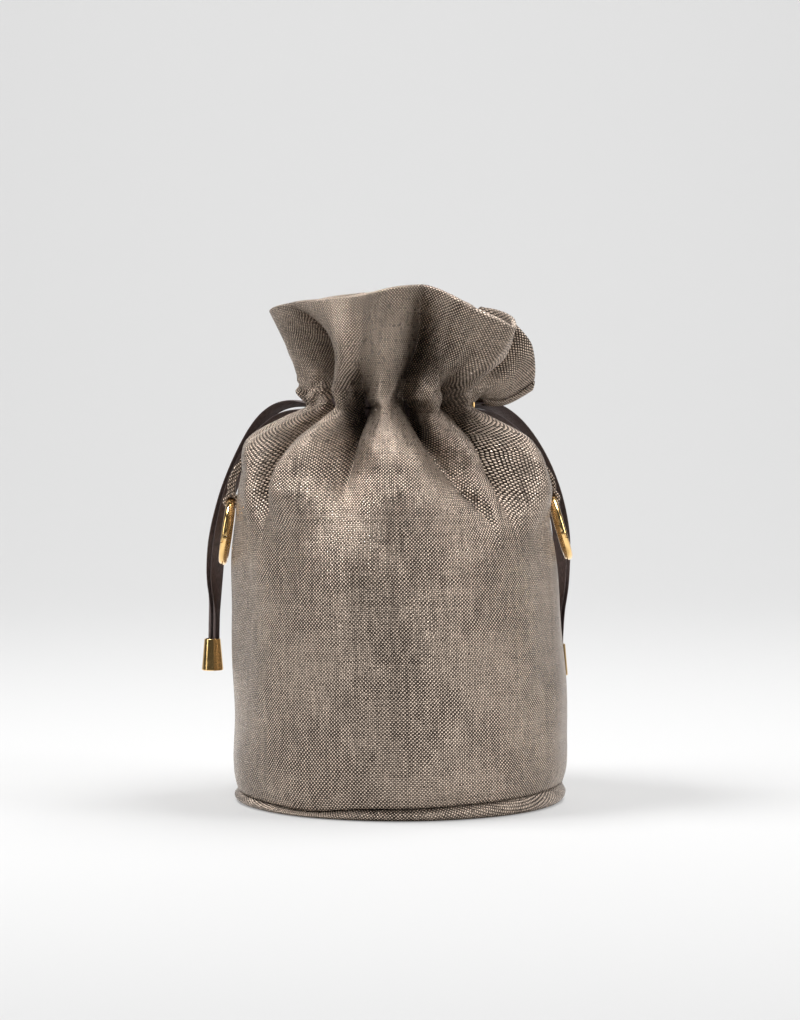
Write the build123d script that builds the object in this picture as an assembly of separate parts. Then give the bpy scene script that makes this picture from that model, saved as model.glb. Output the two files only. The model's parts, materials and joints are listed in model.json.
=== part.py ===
"""Drawstring pouch with a round base, a gathered neck and a flared frill.

Two linen panels are sewn together at the sides and onto a round linen base. A lining hangs inside them, and
a stiff disc keeps the base flat. Two ribbons run round the neck between panel and lining. Both ends of each
ribbon leave through an eyelet in one side seam and are knotted inside a metal cone. A fabric tab on each
shoulder holds a ring with a sprung gate, for a shoulder strap.

Millimetres. +Z is up, +X is to the wearer's right when the front faces -Y, and the origin is the middle of
the base, on the surface that the pouch stands on.
"""

import os
from math import atan2, cos, degrees, hypot, pi, radians, sin, tan

from build123d import *

# ---------------------------------------------------------------- driving dimensions
BODY_RADIUS = 75.0  # of the round wall
SEAM_HEIGHT = 5.0  # of the seam between wall and base
NECK_HEIGHT = 177.0  # of the drawn neck
TAB_HEIGHT = NECK_HEIGHT - 23.0  # of the tabs' roots, on the shoulder
RIM_HEIGHT = 229.0  # of the frill's edge
NECK_HALF_WIDTH = 36.5
NECK_HALF_DEPTH = 27.0
NECK_STRAIGHT = 6.0  # the channel's wall is upright for this far above and below the neck's middle
RIM_HALF_WIDTH = 60.0
RIM_HALF_DEPTH = 33.0
SHOULDER_LEAN = -4.0  # how far the shoulder and neck sag to one side

LINEN = 1.2  # thickness of the outer cloth with its interfacing
LINING = 0.8
CLOTH_GAP = 0.3  # between two layers that lie on each other
CHANNEL_GAP = 4.2  # between panel and lining where the ribbons run

BOARD_RADIUS = 68.0
BOARD_THICKNESS = 2.0
BASE_ROLL = 6.0  # radius at which the base turns up to its seam

EYELET_HOLE_RADIUS = 3.5
EYELET_FLANGE_RADIUS = 5.4
EYELET_WALL = 0.4
EYELET_CROWN = 0.9  # how far the rolled flange stands out
WASHER_THICKNESS = 0.5

RIBBON_RADIUS = 1.0  # of one bunched ribbon end
RIBBON_LOOP_HEIGHT = 4.0  # of the bunched ribbon inside the neck
RIBBON_LOOP_THICKNESS = 1.0

CONE_HEIGHT = 14.5
CONE_TOP_RADIUS = 3.7
CONE_FOOT_RADIUS = 5.0
CONE_WALL = 0.6
CONE_ROUND = 0.35
KNOT_GAP = 0.3
KNOT_DEPTH = 2.5
KNOT_SEAT = 0.1  # between the ribbons' ends and the knot

TAB_WIDTH = 7.5
TAB_THICKNESS = 2.2  # both layers of the strap
TAB_LAYER = 1.1

RING_RADIUS = 13.6  # to the middle of the wire
WIRE_RADIUS = 1.9
GATE_HINGE_ANGLE = 100.0  # round the ring from its top, towards the front
GATE_LATCH_ANGLE = 174.0
GATE_GAP = 0.25
TONGUE_THICKNESS = 1.2
TONGUE_RADIUS = 1.9
SLOT_GAP = 0.25
PIN_RADIUS = 0.55
PIN_GAP = 0.05
SPRING_RADIUS = 0.65
SPRING_WIRE = 0.25
SPRING_LENGTH = 3.0

BIG = 400.0  # larger than the whole pouch, for half spaces

# ---------------------------------------------------------------- places of the side hardware, in X and Z
# The strap of a tab runs from its root on the wall, out and down to the eye that holds the ring.
TAB_WALL = BODY_RADIUS - 12.0  # half width of the wall at the tabs' roots
TAB_LEAN = -4.6


def tab_places(side, stand_off, bends, eye):
    """Root, bends and eye of a tab. The root stands off the wall; the rest are steps (outward, up) from it."""
    root = (TAB_LEAN + side * (TAB_WALL + stand_off), TAB_HEIGHT)
    placed = [(root[0] + side * out, root[1] + up) for out, up in (*bends, eye)]
    return {"root": root, "bend": placed[:-1], "eye": placed[-1]}


LEFT_TAB = tab_places(-1, 2.0, [(4.8, -2.5), (7.8, -10.0)], (6.4, -19.5))
RIGHT_TAB = tab_places(1, 2.2, [(6.2, -1.5), (10.2, -8.0)], (7.8, -18.0))
LEFT_RING_TILT = 8.0  # outward from vertical
RIGHT_RING_TILT = 16.0

# A pull hangs in an upright plane through its eyelet. Its route is (distance out from the eyelet, height).
LEFT_PULL_ANGLE = 152.0  # the plane's direction, round from +X
RIGHT_PULL_ANGLE = 41.0
LEFT_OUTER_ROUTE = [
    (-2.9, 178.1), (6.0, 179.4), (15.5, 178.2), (23.8, 173.6), (30.6, 166.0), (36.6, 156.6), (42.2, 146.2),
    (47.2, 134.8), (50.6, 121.6), (52.6, 107.5), (53.6, 83.5), (54.0, 60.0),
]
LEFT_INNER_ROUTE = [
    (-2.9, 176.0), (6.0, 175.4), (15.3, 172.6), (23.0, 167.6), (29.6, 161.2), (35.6, 153.2), (40.8, 144.0),
    (44.8, 133.6), (47.8, 121.6), (50.0, 107.5), (51.2, 83.5), (51.6, 60.0),
]
RIGHT_OUTER_ROUTE = [
    (-3.4, 178.1), (5.8, 178.5), (15.5, 177.0), (24.6, 172.4), (33.0, 166.0), (41.0, 157.6), (48.2, 147.4),
    (54.2, 135.2), (58.4, 121.0), (59.0, 106.0), (56.8, 81.5), (55.9, 57.5),
]
RIGHT_INNER_ROUTE = [
    (-3.4, 176.0), (5.8, 175.3), (15.5, 171.6), (24.4, 166.4), (32.8, 160.2), (40.4, 152.6), (46.8, 143.4),
    (52.0, 132.0), (55.6, 119.0), (56.6, 105.0), (54.5, 81.5), (53.5, 57.5),
]
LEFT_CONE_TOP = 70.0
RIGHT_CONE_TOP = 66.5


# ---------------------------------------------------------------- the cloth shell
def wall_sections():
    """(height, half width, half depth, sideways offset) of the outer wall, from the seam to the rim."""
    tall = NECK_HEIGHT - SEAM_HEIGHT
    return [
        (SEAM_HEIGHT, BODY_RADIUS - 2.0, BODY_RADIUS - 2.0, 0.0),
        (SEAM_HEIGHT + 0.05 * tall, BODY_RADIUS - 0.6, BODY_RADIUS - 0.6, 0.0),
        (SEAM_HEIGHT + 0.15 * tall, BODY_RADIUS, BODY_RADIUS, 0.0),
        (SEAM_HEIGHT + 0.40 * tall, BODY_RADIUS - 0.6, BODY_RADIUS, -0.4),
        (SEAM_HEIGHT + 0.58 * tall, BODY_RADIUS - 2.0, BODY_RADIUS - 1.4, -2.0),
        (SEAM_HEIGHT + 0.70 * tall, BODY_RADIUS - 5.4, BODY_RADIUS - 5.4, -3.2),
        (SEAM_HEIGHT + 0.79 * tall, BODY_RADIUS - 8.6, BODY_RADIUS - 11.0, -4.0),
        (TAB_HEIGHT, TAB_WALL, BODY_RADIUS - 18.0, TAB_LEAN),
        (TAB_HEIGHT + 6.0, BODY_RADIUS - 17.0, BODY_RADIUS - 26.0, SHOULDER_LEAN),
        (NECK_HEIGHT - NECK_STRAIGHT - 5.0, NECK_HALF_WIDTH + 10.5, NECK_HALF_DEPTH + 11.0, SHOULDER_LEAN),
        (NECK_HEIGHT - NECK_STRAIGHT, NECK_HALF_WIDTH, NECK_HALF_DEPTH, SHOULDER_LEAN),
        (NECK_HEIGHT + NECK_STRAIGHT, NECK_HALF_WIDTH, NECK_HALF_DEPTH, SHOULDER_LEAN),
        (NECK_HEIGHT + 14.0, NECK_HALF_WIDTH + 5.0, NECK_HALF_DEPTH + 2.0, SHOULDER_LEAN + 0.5),
        (RIM_HEIGHT - 26.0, RIM_HALF_WIDTH - 9.0, RIM_HALF_DEPTH - 2.5, 0.0),
        (RIM_HEIGHT - 12.0, RIM_HALF_WIDTH - 3.5, RIM_HALF_DEPTH - 1.5, 0.0),
        (RIM_HEIGHT, RIM_HALF_WIDTH, RIM_HALF_DEPTH, 0.0),
    ]


def lofted(inset, neck_inset):
    """The solid inside the wall, drawn in by inset, and by neck_inset beside the ribbons."""
    rings = []
    for height, half_width, half_depth, lean in wall_sections():
        gap = neck_inset if abs(height - NECK_HEIGHT) < NECK_STRAIGHT + 1.0 else inset
        at = Plane(origin=(lean, 0, height))
        rings.append((at * Ellipse(half_width - gap, half_depth - gap)).face())
    return loft(rings, ruled=True)


def half_space(side):
    """The half of space in front of (side -1) or behind (side +1) the side seams."""
    return Pos(0, side * BIG / 2, 0) * Box(BIG, BIG, BIG * 2)


def eyelet_frame(side):
    """A plane in the wall's outer face at the side seam of the neck; its Z points out. side is -1 or +1."""
    x = SHOULDER_LEAN + side * NECK_HALF_WIDTH
    return Plane(origin=(x, 0, NECK_HEIGHT), x_dir=(0, 1, 0), z_dir=(side, 0, 0))


def panels():
    """The two outer panels, with the eyelets' holes where they meet."""
    shell = lofted(0, 0) - lofted(LINEN, LINEN)
    for side in (-1, 1):
        hole = Cylinder(EYELET_HOLE_RADIUS + EYELET_WALL + PIN_GAP, 5 * LINEN)
        shell -= eyelet_frame(side) * hole
    return shell & half_space(-1), shell & half_space(1)


def lining_wall():
    """The lining's tube, a layer inside the panels and further in where the ribbons run."""
    outside = LINEN + CLOTH_GAP
    beside_ribbon = LINEN + CHANNEL_GAP
    shell = lofted(outside, beside_ribbon) - lofted(outside + LINING, beside_ribbon + LINING)
    floor = Pos(0, 0, board_top() + BIG / 2) * Box(BIG, BIG, BIG)
    return shell & floor


def board_top():
    return LINEN + CLOTH_GAP + BOARD_THICKNESS


def base_panel():
    """The round base: flat, and rolled up at its edge to the seam."""
    seam_radius = BODY_RADIUS - 2.0
    middle = seam_radius - BASE_ROLL

    def half_outline(thin):
        roll = BASE_ROLL - thin
        rise = SEAM_HEIGHT - CLOTH_GAP - thin
        side = roll * (1 - (1 - min(rise / roll, 1.0)) ** 2) ** 0.5
        foot = (middle, thin)
        half_turn = (middle + roll * sin(radians(40)), thin + roll * (1 - cos(radians(40))))
        top = (middle + side, SEAM_HEIGHT - CLOTH_GAP)
        return foot, half_turn, top

    foot, bend, top = half_outline(0.0)
    foot_in, bend_in, top_in = half_outline(LINEN)
    outline = Polyline((0, LINEN), (0, 0), foot)
    outline += ThreePointArc(foot, bend, top)
    outline += Line(top, top_in)
    outline += ThreePointArc(top_in, bend_in, foot_in)
    outline += Line(foot_in, (0, LINEN))
    profile = Plane.XZ * make_face(outline)
    return revolve(profile, Axis.Z)


def disc(radius, low, thickness):
    return Pos(0, 0, low + thickness / 2) * Cylinder(radius, thickness)


# ---------------------------------------------------------------- the neck's ribbons and eyelets
def ribbon_loop(level):
    """One ribbon's turn round the inside of the neck; level is -1 for the lower and +1 for the upper one."""
    outside = LINEN + CHANNEL_GAP - CLOTH_GAP - RIBBON_LOOP_THICKNESS
    height = NECK_HEIGHT + level * (RIBBON_LOOP_HEIGHT + CLOTH_GAP) / 2
    a = NECK_HALF_WIDTH - outside
    b = NECK_HALF_DEPTH - outside
    ring = Ellipse(a, b) - Ellipse(a - RIBBON_LOOP_THICKNESS, b - RIBBON_LOOP_THICKNESS)
    band = extrude(ring, RIBBON_LOOP_HEIGHT / 2, both=True)
    return Pos(SHOULDER_LEAN, 0, height) * band


def seam_sag():
    """How far the neck's oval wall falls away, or comes in, under the edge of an eyelet's flange."""
    share = (EYELET_FLANGE_RADIUS + CLOTH_GAP) / NECK_HALF_DEPTH
    return NECK_HALF_WIDTH * (1 - (1 - share**2) ** 0.5)


def washer_depth():
    return LINEN + CLOTH_GAP + seam_sag()


def eyelet(side):
    """Barrel and rolled flange, pushed through the seam from outside and turned over the washer."""
    inner, outer = EYELET_HOLE_RADIUS, EYELET_HOLE_RADIUS + EYELET_WALL
    foot = -washer_depth() - WASHER_THICKNESS - EYELET_WALL
    crown = ((inner + EYELET_FLANGE_RADIUS) / 2, CLOTH_GAP + EYELET_CROWN)
    outline = Polyline((outer, CLOTH_GAP), (outer, foot), (inner, foot), (inner, CLOTH_GAP + EYELET_WALL))
    outline += ThreePointArc((inner, CLOTH_GAP + EYELET_WALL), crown, (EYELET_FLANGE_RADIUS, CLOTH_GAP))
    outline += Line((EYELET_FLANGE_RADIUS, CLOTH_GAP), (outer, CLOTH_GAP))
    return eyelet_frame(side) * revolve(Plane.XZ * make_face(outline), Axis.Z)


def washer(side):
    """The ring that the barrel is set against, on the inside of the seam."""
    hole = EYELET_HOLE_RADIUS + EYELET_WALL + PIN_GAP
    ring = Cylinder(EYELET_FLANGE_RADIUS, WASHER_THICKNESS) - Cylinder(hole, BIG)
    return eyelet_frame(side) * Pos(0, 0, -washer_depth() - WASHER_THICKNESS / 2) * ring


# ---------------------------------------------------------------- the pulls
def corner_radii(route):
    """The radius of the arc at each inner point of a route: as large as its two runs allow."""
    radii = []
    for before, here, after in zip(route, route[1:], route[2:]):
        run_in = (here[0] - before[0], here[1] - before[1])
        run_out = (after[0] - here[0], after[1] - here[1])
        turn = abs(atan2(run_out[1], run_out[0]) - atan2(run_in[1], run_in[0]))
        shorter = min(hypot(*run_in), hypot(*run_out))
        radii.append(0.45 * shorter / tan(turn / 2))
    return radii


def strand(side, angle, route):
    """One ribbon end along its route, bunched to a round section."""
    line = FilletPolyline(*route, radius=corner_radii(route))
    section = Plane(origin=line @ 0, z_dir=line % 0) * Circle(RIBBON_RADIUS)
    tube = sweep(section, path=line)
    ideal = pi * RIBBON_RADIUS**2 * line.length
    print("ribbon", round(line.length, 1), "arcs", [round(r) for r in corner_radii(route)], tube.volume / ideal)
    return pull_plane(side, angle) * tube


def pull_plane(side, angle):
    """The upright plane a pull hangs in: its X runs outward from mid-barrel in the eyelet, its Y is height."""
    middle = (washer_depth() + WASHER_THICKNESS + EYELET_WALL - CLOTH_GAP - EYELET_CROWN) / 2
    out = (cos(radians(angle)), sin(radians(angle)), 0)
    across = (out[1], -out[0], 0)
    x = SHOULDER_LEAN + side * (NECK_HALF_WIDTH - middle)
    return Plane(origin=(x, 0, 0), x_dir=out, z_dir=across)


def pull_end(side, angle, routes, top):
    """The cone, and the knot inside it under the two ribbon ends."""
    reach = sum(route[-1][0] for route in routes) / len(routes)
    foot = pull_plane(side, angle).from_local_coords(Vector(reach, top - CONE_HEIGHT, 0))
    stand = (Align.CENTER, Align.CENTER, Align.MIN)
    outside = Cone(CONE_FOOT_RADIUS, CONE_TOP_RADIUS, CONE_HEIGHT, align=stand)
    outside = fillet(outside.edges().filter_by(GeomType.CIRCLE), CONE_ROUND)
    inside = Cone(CONE_FOOT_RADIUS - CONE_WALL, CONE_TOP_RADIUS - CONE_WALL, CONE_HEIGHT, align=stand)

    ends = min(route[-1][1] for route in routes) - (top - CONE_HEIGHT) - KNOT_SEAT
    narrowing = (CONE_FOOT_RADIUS - CONE_TOP_RADIUS) / CONE_HEIGHT
    radius = CONE_FOOT_RADIUS - CONE_WALL - ends * narrowing - KNOT_GAP
    knot = Pos(0, 0, ends - KNOT_DEPTH / 2) * Cylinder(radius, KNOT_DEPTH)
    knot = fillet(knot.edges(), KNOT_DEPTH * 0.3)
    return Pos(*foot) * (outside - inside), Pos(*foot) * knot


# ---------------------------------------------------------------- tabs
def eye_radius():
    """Room for the ring's wire, which curves inside the width of the strap."""
    sag = RING_RADIUS - (RING_RADIUS**2 - (TAB_WIDTH / 2) ** 2) ** 0.5
    return WIRE_RADIUS + sag + CLOTH_GAP


def tab(places):
    """A folded strap: round at its root, where it turns, and wrapped round the ring at its eye."""
    route = [places["root"], *places["bend"], places["eye"]]
    strap = trace(Spline(*route), TAB_THICKNESS)
    strap += Pos(*places["root"]) * Circle(TAB_THICKNESS / 2)
    strap += Pos(*places["eye"]) * Circle(eye_radius() + TAB_LAYER)
    strap -= Pos(*places["eye"]) * Circle(eye_radius())
    return Plane.XZ * extrude(strap, TAB_WIDTH / 2, both=True)


# ---------------------------------------------------------------- rings with a sprung gate
def ring_frame(side, eye, tilt):
    """The ring's plane: its origin is the ring's middle, +Y its top and +X the front."""
    lean = radians(tilt)
    down = (side * sin(lean), 0, -cos(lean))
    middle = (eye[0] + down[0] * RING_RADIUS, 0, eye[1] + down[2] * RING_RADIUS)
    up = Vector(-down[0], 0, -down[2])
    front = Vector(0, -1, 0)
    return Plane(origin=middle, x_dir=front, z_dir=front.cross(up))


def on_ring(angle):
    return RING_RADIUS * sin(radians(angle)), RING_RADIUS * cos(radians(angle))


def wire_arc(start, end):
    """Wire from one angle to another, both measured from the top towards the front."""
    x, y = on_ring(start)
    section = Plane(origin=(x, y, 0), z_dir=(y, -x, 0)) * Circle(WIRE_RADIUS)
    return revolve(section, Axis.Z, -(end - start))


def latch_cut(offset):
    """The half space past the latch's slanting face, which lies along the gate's first motion."""
    hinge, latch = Vector(*on_ring(GATE_HINGE_ANGLE), 0), Vector(*on_ring(GATE_LATCH_ANGLE), 0)
    past = (latch - hinge).normalized()
    face = Plane(origin=latch + past * offset, z_dir=past)
    return face * Pos(0, 0, BIG / 2) * Box(BIG, BIG, BIG)


def gate_parts(place):
    """Ring body, gate, hinge pin and spring, placed in a ring's plane."""
    pin_at = Pos(*on_ring(GATE_HINGE_ANGLE))
    overlap = degrees(TONGUE_RADIUS / RING_RADIUS)
    cheek_radius = TONGUE_RADIUS + SLOT_GAP
    fork_end = GATE_HINGE_ANGLE + 2 * overlap
    latch_side = GATE_LATCH_ANGLE - 2 * overlap

    body = wire_arc(latch_side, GATE_HINGE_ANGLE + 360)
    body &= latch_cut(GATE_GAP / 2) + wire_arc(GATE_LATCH_ANGLE + overlap, GATE_HINGE_ANGLE + 360)
    body += wire_arc(GATE_HINGE_ANGLE, fork_end) & pin_at * Cylinder(cheek_radius, BIG)
    body -= pin_at * Cylinder(cheek_radius + SLOT_GAP, TONGUE_THICKNESS + 2 * SLOT_GAP)
    body -= pin_at * Cylinder(PIN_RADIUS + PIN_GAP, BIG)

    gate = wire_arc(GATE_HINGE_ANGLE, GATE_LATCH_ANGLE + 2 * overlap) - latch_cut(-GATE_GAP / 2)
    tongue = gate & pin_at * Cylinder(cheek_radius + 2 * SLOT_GAP, TONGUE_THICKNESS)
    gate -= pin_at * Cylinder(cheek_radius + SLOT_GAP, BIG)
    gate += tongue + pin_at * Cylinder(TONGUE_RADIUS, TONGUE_THICKNESS)
    gate -= pin_at * Cylinder(PIN_RADIUS + PIN_GAP, BIG)

    pin_length = 2 * (WIRE_RADIUS - SLOT_GAP)
    pin = pin_at * Cylinder(PIN_RADIUS, pin_length)

    behind = GATE_HINGE_ANGLE - degrees((cheek_radius + 2 * SLOT_GAP + SPRING_LENGTH / 2) / RING_RADIUS)
    x, y = on_ring(behind)
    seat = Plane(origin=(x, y, 0), z_dir=(y, -x, 0))
    body -= seat * Cylinder(SPRING_RADIUS + PIN_GAP, SPRING_LENGTH + 2 * SLOT_GAP)
    coil = Cylinder(SPRING_RADIUS, SPRING_LENGTH) - Cylinder(SPRING_RADIUS - SPRING_WIRE, SPRING_LENGTH)
    return {"body": place * body, "gate": place * gate, "gate_pin": place * pin, "gate_spring": place * seat * coil}


# ---------------------------------------------------------------- the whole pouch
def build():
    nodes = {}
    nodes["front_panel"], nodes["back_panel"] = panels()
    nodes["base_panel"] = base_panel()
    nodes["base_board"] = disc(BOARD_RADIUS, LINEN + CLOTH_GAP, BOARD_THICKNESS)
    nodes["lining_base"] = disc(BOARD_RADIUS, board_top(), LINING)
    nodes["lining_wall"] = lining_wall()
    sides = [
        ("left", -1, LEFT_PULL_ANGLE, LEFT_OUTER_ROUTE, LEFT_INNER_ROUTE, LEFT_CONE_TOP, LEFT_TAB, LEFT_RING_TILT),
        (
            "right", 1, RIGHT_PULL_ANGLE, RIGHT_OUTER_ROUTE, RIGHT_INNER_ROUTE,
            RIGHT_CONE_TOP, RIGHT_TAB, RIGHT_RING_TILT,
        ),
    ]
    for name, side, angle, outer, inner, cone_top, places, tilt in sides:
        nodes[f"{name}_eyelet"] = eyelet(side)
        nodes[f"{name}_washer"] = washer(side)
        nodes[f"{name}_ribbon_loop"] = ribbon_loop(side)
        for layer, route in (("outer", outer), ("inner", inner)):
            nodes[f"{name}_{layer}_ribbon"] = strand(side, angle, route)
        nodes[f"{name}_cone_end"], nodes[f"{name}_knot"] = pull_end(side, angle, (outer, inner), cone_top)
        nodes[f"{name}_tab"] = tab(places)
        for part, shape in gate_parts(ring_frame(side, places["eye"], tilt)).items():
            nodes[f"{name}_ring_{part}"] = shape
    return nodes


os.makedirs("parts", exist_ok=True)
for node, shape in build().items():
    export_step(shape, f"parts/{node}.step")
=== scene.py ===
# %% [markdown]
# # A drawstring pouch in metallic linen
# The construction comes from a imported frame: sizes, joints and hard parts are fixed there. This lesson adds
# the looks around it: gathered cloth, a puffed base, satin ribbons, polished metal, soft studio light.

# %% Load the frame
import json
import math

import bpy
import bmesh
import numpy as np
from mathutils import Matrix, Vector


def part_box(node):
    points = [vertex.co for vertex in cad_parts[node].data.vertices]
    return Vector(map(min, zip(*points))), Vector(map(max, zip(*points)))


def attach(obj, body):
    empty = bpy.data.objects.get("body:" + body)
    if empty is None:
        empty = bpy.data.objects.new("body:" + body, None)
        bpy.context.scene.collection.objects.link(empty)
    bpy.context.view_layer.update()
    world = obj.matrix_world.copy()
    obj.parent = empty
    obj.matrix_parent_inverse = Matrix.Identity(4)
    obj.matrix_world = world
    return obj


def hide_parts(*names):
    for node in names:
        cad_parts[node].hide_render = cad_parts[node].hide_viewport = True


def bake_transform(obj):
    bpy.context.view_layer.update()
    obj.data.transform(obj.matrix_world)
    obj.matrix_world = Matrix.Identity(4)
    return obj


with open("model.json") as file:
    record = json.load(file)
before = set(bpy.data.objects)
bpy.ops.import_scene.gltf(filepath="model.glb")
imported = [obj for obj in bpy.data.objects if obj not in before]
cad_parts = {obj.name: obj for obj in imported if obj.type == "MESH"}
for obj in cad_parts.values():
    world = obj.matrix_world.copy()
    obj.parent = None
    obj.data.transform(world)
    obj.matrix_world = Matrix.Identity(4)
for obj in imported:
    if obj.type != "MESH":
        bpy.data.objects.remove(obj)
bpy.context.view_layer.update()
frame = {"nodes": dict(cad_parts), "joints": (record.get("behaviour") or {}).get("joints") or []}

MM = 0.001
scene = bpy.context.scene
nodes = frame["nodes"]

# %% [markdown]
# ## Camera
# The pouch is seen from the front, a little from above. A long lens a metre and a half away keeps the sides
# nearly parallel, as in a product picture, so the camera is placed by its distance and height.

# %% Camera
CAMERA_DISTANCE = 1.5
CAMERA_HEIGHT = 0.2175
AIM_HEIGHT = 0.1305
VIEW_HEIGHT = 0.459  # how much the picture takes in at the pouch, from its lower to its upper edge
SENSOR = 24.0

camera_data = bpy.data.cameras.new("camera")
camera = bpy.data.objects.new("camera", camera_data)
scene.collection.objects.link(camera)
camera_data.sensor_fit = "VERTICAL"
camera_data.sensor_height = SENSOR
camera_data.lens = SENSOR * CAMERA_DISTANCE / VIEW_HEIGHT
camera_data.clip_end = 20.0
camera.location = (0.0, -CAMERA_DISTANCE, CAMERA_HEIGHT)
aim = Vector((0.0, 0.0, AIM_HEIGHT)) - camera.location
camera.rotation_euler = aim.to_track_quat("-Z", "Y").to_euler()
scene.camera = camera
print("lens", round(camera_data.lens, 1), "mm")

# %% [markdown]
# ## Small helpers
# Every piece here ends as one mesh whose object sits at the origin. A piece made of rows of points is a
# grid: rows joined by quads. The same helper makes the cloth, the ribbons and the base.

# %% Helper: a mesh from rows of points
def grid_mesh(name, rows, closed=False, uv=None):
    """rows is an array (rows, columns, 3) in metres; uv, if given, is (rows, columns, 2)."""
    count, width = rows.shape[:2]
    across = width if closed else width - 1
    faces = []
    for i in range(count - 1):
        for j in range(across):
            k = (j + 1) % width
            faces.append((i * width + j, i * width + k, (i + 1) * width + k, (i + 1) * width + j))
    mesh = bpy.data.meshes.new(name)
    mesh.from_pydata(rows.reshape(-1, 3).tolist(), [], faces)
    if uv is not None:
        layer = mesh.uv_layers.new(name="cloth")
        flat = uv.reshape(-1, 2)
        index = np.empty(len(mesh.loops), dtype=np.int64)
        mesh.loops.foreach_get("vertex_index", index)
        layer.data.foreach_set("uv", flat[index].ravel())
    mesh.update()
    piece = bpy.data.objects.new(name, mesh)
    scene.collection.objects.link(piece)
    for polygon in mesh.polygons:
        polygon.use_smooth = True
    return piece


def activate(piece):
    bpy.ops.object.select_all(action="DESELECT")
    piece.select_set(True)
    bpy.context.view_layer.objects.active = piece


def apply_all(piece):
    """Applies a piece's modifiers in order."""
    activate(piece)
    for modifier in list(piece.modifiers):
        bpy.ops.object.modifier_apply(modifier=modifier.name)


def thicken(piece, thickness, offset=-1.0, rim=True):
    solid = piece.modifiers.new("thickness", "SOLIDIFY")
    solid.thickness = thickness
    solid.offset = offset
    solid.use_rim = rim
    apply_all(piece)


def shade_smooth(piece):
    for polygon in piece.data.polygons:
        polygon.use_smooth = True


def tell(piece):
    low = [min(v.co[i] for v in piece.data.vertices) / MM for i in range(3)]
    high = [max(v.co[i] for v in piece.data.vertices) / MM for i in range(3)]
    corners = [[round(v, 1) for v in corner] for corner in (low, high)]
    print(piece.name, len(piece.data.polygons), "faces", *corners)


# %% Helper: smooth values along a line of keys
def along(places, values, x):
    """A smooth curve through the keys (places, values), read at x. It doesn't swing past a flat stretch."""
    places, values, x = np.asarray(places, float), np.asarray(values, float), np.asarray(x, float)
    slope = np.gradient(values, places)
    step = np.diff(values) / np.diff(places)
    slope[0], slope[-1] = step[0], step[-1]
    for i in range(1, len(values) - 1):
        if step[i - 1] * step[i] <= 0:
            slope[i] = 0.0
    i = np.clip(np.searchsorted(places, x, side="right") - 1, 0, len(places) - 2)
    width = places[i + 1] - places[i]
    t = np.clip((x - places[i]) / width, 0.0, 1.0)
    t2, t3 = t * t, t * t * t
    return (
        (2 * t3 - 3 * t2 + 1) * values[i]
        + (t3 - 2 * t2 + t) * width * slope[i]
        + (3 * t2 - 2 * t3) * values[i + 1]
        + (t3 - t2) * width * slope[i + 1]
    )


# %% [markdown]
# ## The cloth wall
# The wall is one tube of linen, cut as a front and a back panel. Its outline is an oval at each height, and
# the drawstring gathers it at the neck, so folds run up and down through the oval. Each fold is a line with
# a place round the oval and a height out of it, at a few named levels. A simulation could gather the cloth,
# but the folds would fall by chance; lines put each one where this pouch has it.

# %% Levels of the wall, from the base seam to the rim
LEVELS = {
    "seam": 0.00, "tuck": 0.03, "low": 0.12, "belly": 0.33, "wall": 0.52, "shoulder": 0.665, "brow": 0.74,
    "crook": 0.784, "neck": 0.80, "throat": 0.816, "frill": 0.915, "rim": 1.0,
}
# each level's oval, in mm: height, half width, half depth and offset to the right
OVALS = {
    "seam": (5.6, 73.4, 73.2, 0.0),
    "tuck": (11.0, 74.6, 74.6, 0.0),
    "low": (33.0, 75.0, 75.0, 0.0),
    "belly": (84.0, 74.0, 74.6, -1.3),
    "wall": (123.0, 71.6, 69.8, -2.9),
    "shoulder": (147.0, 66.4, 60.2, -4.0),
    "brow": (163.5, 54.5, 46.0, -4.4),
    "crook": (173.5, 40.0, 31.5, -4.2),
    "neck": (177.5, 35.2, 26.5, -4.0),
    "throat": (181.5, 36.4, 27.5, -4.0),
    "frill": (204.0, 47.5, 30.0, -0.4),
    "rim": (226.0, 59.6, 34.0, 0.8),
}
level_places = list(LEVELS.values())
# the rim's height in mm for degrees round from the front: low at the right, where the frill's flap hangs
RIM_HEIGHTS = [
    (-180, 228), (-150, 226), (-125, 221), (-105, 218), (-90, 219), (-70, 221), (-38, 224), (-14, 227),
    (-3, 229.5), (8, 230), (17, 227.8), (28, 221.5), (37, 216), (44, 212), (50, 217), (58, 221), (66, 216),
    (72, 209), (80, 200), (88, 190), (95, 184), (103, 184), (113, 194), (126, 209), (142, 219), (160, 226),
    (180, 228),
]

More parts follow.
